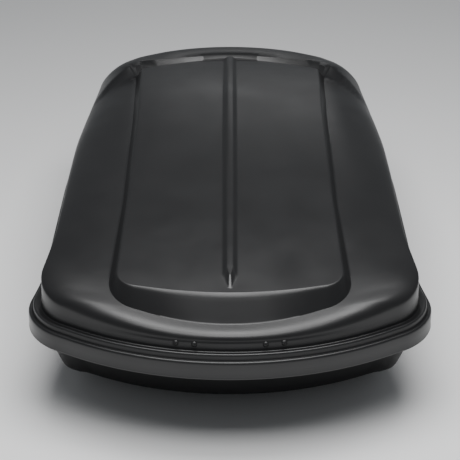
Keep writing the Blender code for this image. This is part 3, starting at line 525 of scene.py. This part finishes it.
# Rivets go in pairs, this far to each side of a hinge's middle
LID_RIVET_SPACING, BASE_RIVET_SPACING = 0.021, 0.025
LID_RIVET_INSET, BASE_RIVET_INSET = 0.0320, 0.0230               # from the lip's outline
LID_RIVET_GRIP, BASE_RIVET_GRIP = 0.0080, 0.0084
LID_RIVET_Z = LIP_Z + 0.027
LID_WALL_LEAN = math.radians(10)
RIVET_HEAD = [(0, -0.0016), (0.0010, -0.0017), (0.0014, -0.0026), (0.0018, -0.0033),
              (0.0027, -0.0033), (0.0041, -0.0028), (0.0054, -0.0019), (0.0063, -0.0009),
              (0.0067, -0.0001), (0.0065, 0.0003), (0.0024, 0.0003)]
NOSE_RADIUS = LIP_OUTLINE[-1][2]
ALONG_X = Matrix.Rotation(math.pi / 2, 4, "Y")
ALONG_Y = Matrix.Rotation(-math.pi / 2, 4, "X")


def turned(name, profile, place, steps=32):
    """A solid of revolution from (radius, height) points, which is then put in its place."""
    rings = [[Vector((r * math.cos(math.tau * i / steps), r * math.sin(math.tau * i / steps), h))
              for i in range(steps)] for r, h in profile]
    piece = draw_shell(name, rings)
    piece.data.transform(place)
    shade(piece, 35)
    return piece


def copied(piece, name, place):
    """A copy with its own mesh, moved by a matrix."""
    twin = piece.copy()
    twin.data = piece.data.copy()
    twin.name = twin.data.name = name
    twin.data.transform(place)
    bpy.context.scene.collection.objects.link(twin)
    return twin


def eased(node_name, width, finish):
    """Stand a copy of a CAD node in its place, with its sharp edges rounded over."""
    source = frame["nodes"][node_name]
    piece = bpy.data.objects.new(f"fine_{node_name}", source.data.copy())
    bpy.context.scene.collection.objects.link(piece)
    bpy.ops.object.select_all(action="DESELECT")
    piece.select_set(True)
    bpy.context.view_layer.objects.active = piece
    bpy.ops.mesh.customdata_custom_splitnormals_clear()
    bpy.ops.object.mode_set(mode="EDIT")
    bpy.ops.mesh.select_all(action="SELECT")
    bpy.ops.mesh.remove_doubles(threshold=0.00001)
    bpy.ops.mesh.dissolve_limited(angle_limit=math.radians(1))
    bpy.ops.object.mode_set(mode="OBJECT")
    finish_with(piece, "BEVEL", width=width, segments=2, limit_method="ANGLE",
                angle_limit=math.radians(35))
    shade(piece, 40)
    stand_for(piece, node_name, finish)


def nose_place(x, distance, z, lean=0.0):
    """A place on the nose's arc: X along the wall, Y straight into the box, Z up the wall."""
    radius = NOSE_RADIUS - distance
    y = NOSE_RADIUS - HALF_LENGTH - math.sqrt(radius**2 - x**2)
    return (Matrix.Translation((x, y, z)) @ Matrix.Rotation(math.asin(x / radius), 4, "Z")
            @ Matrix.Rotation(-lean, 4, "X"))


# Mild steel, zinc plated and clear passivated: a metal of satin lustre that clouds from bluish to
# faintly yellow. The rolled sheet's grain is 0.1 mm wide and is drawn at 0.6 mm.
zinc_steel, tree, shader = new_finish("zinc_plated_steel", "#b4b7ba", Roughness=0.36, Metallic=1.0)
place = node(tree, "ShaderNodeTexCoord")
mottled(tree, shader, place, 35.0, ("#a9aeb4", "#bdbcb4"))
drawn = node(tree, "ShaderNodeMapping", [("Vector", place, "Object")])
drawn.inputs["Scale"].default_value = (1600.0, 90.0, 1600.0)
grain = node(tree, "ShaderNodeTexNoise", [("Vector", drawn, "Vector")], Scale=1.0, Detail=3.0)
uneven_gloss(tree, shader, grain, 0.28, 0.46)
embossed(tree, shader, grain, "Fac", 0.12, 0.0001)

# Steel under a baked black epoxy powder coat, IOR 1.5: satin black with orange peel, whose cells
# are about 1 mm across.
black_steel, tree, shader = new_finish("black_coated_steel", "#161617", Roughness=0.42, IOR=1.5)
place = node(tree, "ShaderNodeTexCoord")
mottled(tree, shader, place, 45.0, ("#131314", "#1b1b1c"))
peel = node(tree, "ShaderNodeTexNoise", [("Vector", place, "Object")], Scale=900.0, Detail=1.0)
uneven_gloss(tree, shader, peel, 0.36, 0.48)
embossed(tree, shader, peel, "Fac", 0.20, 0.0003)

for kind, distance, height, lean, spacing, grip in (
        ("lid", LID_RIVET_INSET, LID_RIVET_Z, LID_WALL_LEAN, LID_RIVET_SPACING, LID_RIVET_GRIP),
        ("base", BASE_RIVET_INSET, HINGE_Z, 0.0, BASE_RIVET_SPACING, BASE_RIVET_GRIP)):
    tail = [(0.0024, grip), (0.0042, grip), (0.0044, grip + 0.0007), (0.0037, grip + 0.0014),
            (0.0018, grip + 0.0017), (0, grip + 0.0013)]
    first_rivet = turned(f"first_{kind}_rivet", RIVET_HEAD + tail, ALONG_Y)
    for word, side in SIDES:
        for end, way in (("a", -1), ("b", 1)):
            x = side * HINGE_X + way * spacing
            rivet = copied(first_rivet, "rivet", nose_place(x, distance, height, lean))
            stand_for(rivet, f"{kind}_rivet_{word}_{end}", black_steel)
    bpy.data.objects.remove(first_rivet)

for word, side in SIDES:
    for leaf in ("hinge_lid_leaf", "hinge_base_leaf"):
        eased(f"{leaf}_{word}", 0.0005, zinc_steel)
    pin = turned("pin", PIN_PROFILE,
                 Matrix.Translation((side * HINGE_X, HINGE_Y, HINGE_Z)) @ ALONG_X)
    stand_for(pin, f"hinge_pin_{word}", zinc_steel)


# ============================================================ rear locks
# Cam locks: a black die-cast housing held in the lid's rear lip, a plated barrel with a keyway
# that turns in it, and a pressed cam that hooks under a keeper on the base's rim. A rolled strip
# inside the rear lip spreads their pull.

TAIL_RADIUS = LIP_OUTLINE[0][2]
LOCK_Y = HALF_LENGTH - TAIL_RADIUS + math.sqrt(TAIL_RADIUS**2 - LOCK_X**2)
LOCK_Z = LIP_Z - 0.022
# Both profiles are (radius, height outwards from the lip's face)
HOUSING_PROFILE = [
    (0.0089, 0.0030), (0.0089, -0.0120), (0.0098, -0.0120), (0.0105, -0.0114), (0.0105, 0.0003),
    (0.0146, 0.0003), (0.0150, 0.0007), (0.0150, 0.0016), (0.0146, 0.0024), (0.0136, 0.0029),
    (0.0120, 0.0032), (0.0104, 0.0033), (0.0095, 0.0031), (0.0089, 0.0030)]
BARREL_PROFILE = [
    (0, 0.0019), (0.0062, 0.0019), (0.0067, 0.0024), (0.0080, 0.0024), (0.0085, 0.0019),
    (0.0085, -0.0350), (0.0081, -0.0354), (0.0040, -0.0354), (0.0040, -0.0395),
    (0.0036, -0.0400), (0, -0.0400)]
KEYWAY_HALF = Vector((0.0010, 0.0030, 0.0040))


def cut_away(piece, solids):
    """Cut solids that don't touch each other out of a piece, in one Boolean."""
    bpy.ops.object.select_all(action="DESELECT")
    for solid in solids:
        solid.select_set(True)
    bpy.context.view_layer.objects.active = solids[0]
    bpy.ops.object.join()
    finish_with(piece, "BOOLEAN", operation="DIFFERENCE", object=solids[0], solver="EXACT")
    bpy.data.objects.remove(solids[0])


def block(low, high, place):
    """A plain block between two corners in a local frame, for cutting with."""
    low, high = Vector(low), Vector(high)
    bpy.ops.mesh.primitive_cube_add(size=1)
    made = bpy.context.active_object
    made.data.transform(place @ Matrix.Translation((low + high) / 2)
                        @ Matrix.Diagonal((*(high - low), 1)))
    return made


def drill_bit(radius, length, place):
    """A cylinder along a local frame's Z axis, for cutting with."""
    bpy.ops.mesh.primitive_cylinder_add(vertices=32, radius=radius, depth=length)
    made = bpy.context.active_object
    made.data.transform(place)
    return made


lock_places = {word: Matrix.Translation((side * LOCK_X, LOCK_Y, LOCK_Z))
               @ Matrix.Rotation(-side * math.asin(LOCK_X / TAIL_RADIUS), 4, "Z")
               for word, side in SIDES}
for word, lock_place in lock_places.items():
    housing = turned("housing", HOUSING_PROFILE, lock_place @ ALONG_Y, 48)
    stand_for(housing, f"lock_housing_{word}", black_steel)
    barrel = turned("barrel", BARREL_PROFILE, lock_place @ ALONG_Y, 48)
    cut_away(barrel, [block(-KEYWAY_HALF, KEYWAY_HALF, lock_place)])
    shade(barrel, 35)
    stand_for(barrel, f"lock_barrel_{word}", zinc_steel)
    for part in ("lock_cam", "lock_keeper"):
        eased(f"{part}_{word}", 0.0004, zinc_steel)
eased("rear_stiffener", 0.0006, zinc_steel)


# ============================================================ lid stays
# On each side a flat steel arm swings on a nylon block on the base, and its headed pin slides
# along a slotted track inside the lid. Arm and track are pressings with tumbled edges.

# Glass-filled nylon, IOR 1.53, injection moulded: dull black, mottled where the glass comes up.
black_nylon, tree, shader = new_finish("glass_filled_nylon", "#171718", Roughness=0.55, IOR=1.53)
place = node(tree, "ShaderNodeTexCoord")
mottled(tree, shader, place, 120.0, ("#131314", "#1f1f20"), 6.0)
fibre = node(tree, "ShaderNodeTexNoise", [("Vector", place, "Object")], Scale=1400.0, Detail=4.0)
uneven_gloss(tree, shader, fibre, 0.46, 0.64)
embossed(tree, shader, fibre, "Fac", 0.25, 0.0002)

PIN_HEAD = [(0, 0.0002), (0.0050, 0.0002), (0.0066, 0.0005), (0.0074, 0.0012), (0.0075, 0.0020),
            (0.0071, 0.0025), (0.0040, 0.0025)]

for word, side in SIDES:
    for part in ("stay_arm", "stay_track"):
        eased(f"{part}_{word}", 0.0006, zinc_steel)
    eased(f"stay_bracket_{word}", 0.0015, black_nylon)
    for part in ("stay_pivot_pin", "stay_slide_pin"):
        low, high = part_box(f"{part}_{word}")
        middle = (low + high) / 2
        length = high.x - low.x
        shank = [(0.0040, length - 0.0006), (0.0034, length), (0, length)]
        # The head is towards the middle of the box
        pin = turned("pin", PIN_HEAD + shank,
                     Matrix.Translation((low.x if side > 0 else high.x, middle.y, middle.z))
                     @ Matrix.Rotation(side * math.pi / 2, 4, "Y"))
        stand_for(pin, f"{part}_{word}", zinc_steel)


# ============================================================ crossbar clamps
# Two steel rails lie on the floor. Through each go two U-bolts, bent from 8 mm rod with rolled M8
# threads, and five-lobed nylon hand nuts pull them up against pressed plates.

CLAMP_X, CLAMP_Y = 0.300, 0.350
LEG = 0.0425                        # from a clamp's middle to each of its bolt's legs
ROD_RADIUS, END_RADIUS, END_CHAMFER = 0.004, 0.0031, 0.0007
BEND_RADIUS, BEND_Z = 0.018, 0.022
BEND_STEPS = 8
BOLT_TOP, THREAD_FOOT = 0.106, 0.058
PITCH = 0.00125
RINGS_PER_PITCH = 6
THREAD_HALF_DEPTH = 0.00030
ROD_SIDES = 16

# The bolt's middle line as (y, z, heading), down one leg, round the bottom and up the other
thread_top = BOLT_TOP - END_CHAMFER
thread_rings = int((thread_top - THREAD_FOOT) / PITCH * RINGS_PER_PITCH)
route = [(-LEG, BOLT_TOP, -90)]
route += [(-LEG, thread_top - PITCH / RINGS_PER_PITCH * step, -90) for step in range(thread_rings)]
first_leg = list(route)
for middle, start in ((BEND_RADIUS - LEG, 180), (LEG - BEND_RADIUS, 270)):
    for step in range(BEND_STEPS + 1):
        degrees = start + 90 * step / BEND_STEPS
        route.append((middle + BEND_RADIUS * math.cos(math.radians(degrees)),
                      BEND_Z + BEND_RADIUS * math.sin(math.radians(degrees)), degrees + 90))
route += [(LEG, z, 90) for _, z, _ in reversed(first_leg)]

bolt_rings = []
for y, z, heading in route:
    across = Vector((0, -math.sin(math.radians(heading)), math.cos(math.radians(heading))))
    handed = 1 if y < 0 else -1
    ring = []
    for angle in (math.tau * step / ROD_SIDES for step in range(ROD_SIDES)):
        radius = ROD_RADIUS
        if z == BOLT_TOP:
            radius = END_RADIUS
        elif z > THREAD_FOOT:
            radius -= THREAD_HALF_DEPTH * (1 - math.sin(math.tau * z / PITCH - angle * handed))
        out = Vector((math.cos(angle), 0, 0)) + across * math.sin(angle)
        ring.append(Vector((0, y, z)) + out * radius)
    bolt_rings.append(ring)
first_bolt = draw_shell("first_bolt", bolt_rings)
close_ends(first_bolt)
shade(first_bolt, 50)

KNOB_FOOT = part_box("clamp_knob_front_right_a")[0].z
KNOB_LOBES = 5
KNOB_STEPS = 80
# The hand nut's rings as (radius, height above its foot, depth of the lobes)
KNOB_SECTIONS = [
    (0.0045, 0.0, 0), (0.0097, 0.0, 0), (0.0105, 0.0008, 0), (0.0105, 0.0088, 0),
    (0.0112, 0.0098, 0.0002), (0.0140, 0.0104, 0.0010), (0.0182, 0.0109, 0.0024),
    (0.0203, 0.0122, 0.0028), (0.0211, 0.0145, 0.0031), (0.0212, 0.0165, 0.0032),
    (0.0209, 0.0195, 0.0031), (0.0200, 0.0220, 0.0029), (0.0184, 0.0237, 0.0026),
    (0.0162, 0.0245, 0.0020), (0.0135, 0.0246, 0.0010), (0.0112, 0.0240, 0.0002),
    (0.0100, 0.0232, 0), (0.0074, 0.0231, 0), (0.0070, 0.0236, 0), (0.0068, 0.0245, 0),
    (0.0045, 0.0245, 0), (0.0045, 0.0, 0)]
knob_rings = []
for radius, height, lobe in KNOB_SECTIONS:
    ring = []
    for angle in (math.tau * step / KNOB_STEPS for step in range(KNOB_STEPS)):
        reach = radius + lobe * math.cos(KNOB_LOBES * angle)
        ring.append(Vector((reach * math.cos(angle), reach * math.sin(angle), KNOB_FOOT + height)))
    knob_rings.append(ring)
first_knob = draw_shell("first_knob", knob_rings)
shade(first_knob, 45)

for word, side in SIDES:
    eased(f"floor_rail_{word}", 0.0008, zinc_steel)
    for end, way in (("front", -1), ("rear", 1)):
        tag = f"{end}_{word}"
        at = Matrix.Translation((side * CLAMP_X, way * CLAMP_Y, 0))
        stand_for(copied(first_bolt, "bolt", at), f"u_bolt_{tag}", zinc_steel)
        eased(f"clamp_plate_{tag}", 0.0006, black_steel)
        for letter, leg in (("a", -LEG), ("b", LEG)):
            stand_for(copied(first_knob, "knob", at @ Matrix.Translation((0, leg, 0))),
                      f"clamp_knob_{tag}_{letter}", black_nylon)
bpy.data.objects.remove(first_bolt)
bpy.data.objects.remove(first_knob)


# ============================================================ holes and notches in the two shells
# Both sheets are trimmed and drilled after forming. The rim of the base is cut away for the
# hinges and the locks, and its floor is drilled for the U-bolts. The lid is drilled for its
# rivets and locks.

HINGE_NOTCH_LOW = Vector((-HINGE_NOTCH_HALF, -0.82, LIP_Z - 0.016))
HINGE_NOTCH_HIGH = Vector((HINGE_NOTCH_HALF, -0.70, LIP_Z + 0.02))
LOCK_NOTCH_LOW, LOCK_NOTCH_HIGH = (-0.0115, -0.060, -0.014), (0.0115, -0.010, 0.05)
# Holes as (radius, length of the drill)
LOCK_HOLE, RIVET_HOLE, BOLT_HOLE = (0.0107, 0.024), (0.0028, 0.016), (0.0052, 0.030)
LID_WALL_INSET = 0.0325             # the middle of the lid's wall, at the rivets

base_solids = []
lid_solids = []
for word, side in SIDES:
    x = side * HINGE_X
    base_solids.append(block(HINGE_NOTCH_LOW, HINGE_NOTCH_HIGH, Matrix.Translation((x, 0, 0))))
    base_solids.append(block(LOCK_NOTCH_LOW, LOCK_NOTCH_HIGH, lock_places[word]))
    lid_solids.append(drill_bit(*LOCK_HOLE, lock_places[word] @ ALONG_Y))
    for way in (-1, 1):
        hole_place = nose_place(x + way * LID_RIVET_SPACING, LID_WALL_INSET, LID_RIVET_Z,
                                LID_WALL_LEAN)
        lid_solids.append(drill_bit(*RIVET_HOLE, hole_place @ ALONG_Y))
        for leg in (-LEG, LEG):
            bolt_place = (side * CLAMP_X, way * CLAMP_Y + leg, BASE_FOOT_Z)
            base_solids.append(drill_bit(*BOLT_HOLE, Matrix.Translation(bolt_place)))
cut_away(base_tray, base_solids)
cut_away(lid_sheet, lid_solids)
for shell in (base_tray, lid_sheet):
    shade(shell, 40)


# ============================================================ the studio
# A pale floor and three soft boxes: one overhead, which lights the panel, one overhead in front of
# the nose, which draws the bright lines along its edges, and a faint one behind the tail.

bpy.ops.object.select_all(action="DESELECT")
bpy.ops.mesh.primitive_plane_add(size=24.0, location=(0, 0, 0))
studio_floor = bpy.context.active_object
studio_floor.name = "studio_floor"
floor_paper, tree, shader = new_finish("floor_paper", "#f4f4f4", Roughness=0.9)
studio_floor.data.materials.append(floor_paper)


def soft_box(name, place, target, width, height, watts):
    """A rectangular lamp at a place, facing a target."""
    light = bpy.data.lights.new(name, "AREA")
    light.shape = "RECTANGLE"
    light.size, light.size_y, light.energy = width, height, watts
    lamp = bpy.data.objects.new(name, light)
    bpy.context.scene.collection.objects.link(lamp)
    lamp.location = place
    lamp.rotation_euler = (Vector(target) - Vector(place)).to_track_quat("-Z", "Y").to_euler()


soft_box("overhead", place=(0.15, -0.30, 2.7), target=(0.15, -0.30, 0.3),
         width=2.4, height=1.1, watts=66)
soft_box("overhead_front", place=(0.0, -1.55, 2.65), target=(0.0, -1.20, 0.3),
         width=2.2, height=1.1, watts=46)
soft_box("back", place=(0.3, 4.2, 2.2), target=(0.0, 0.3, 0.4), width=1.6, height=0.7, watts=4)

sky = bpy.data.worlds.new("studio_air")
bpy.context.scene.world = sky
sky.use_nodes = True
sky.node_tree.nodes["Background"].inputs["Color"].default_value = linear("#e8ecf0")
sky.node_tree.nodes["Background"].inputs["Strength"].default_value = 0.24

CAMERA_PLACE = (0.0, -3.783, 2.105)
CAMERA_TILT = math.radians(63)      # looking down at 27 degrees
CAMERA_ANGLE = math.radians(16.75)
camera_data = bpy.data.cameras.new("camera")
camera_data.angle = CAMERA_ANGLE
camera = bpy.data.objects.new("camera", camera_data)
bpy.context.scene.collection.objects.link(camera)
camera.location = CAMERA_PLACE
camera.rotation_euler = (CAMERA_TILT, 0, 0)
bpy.context.scene.camera = camera
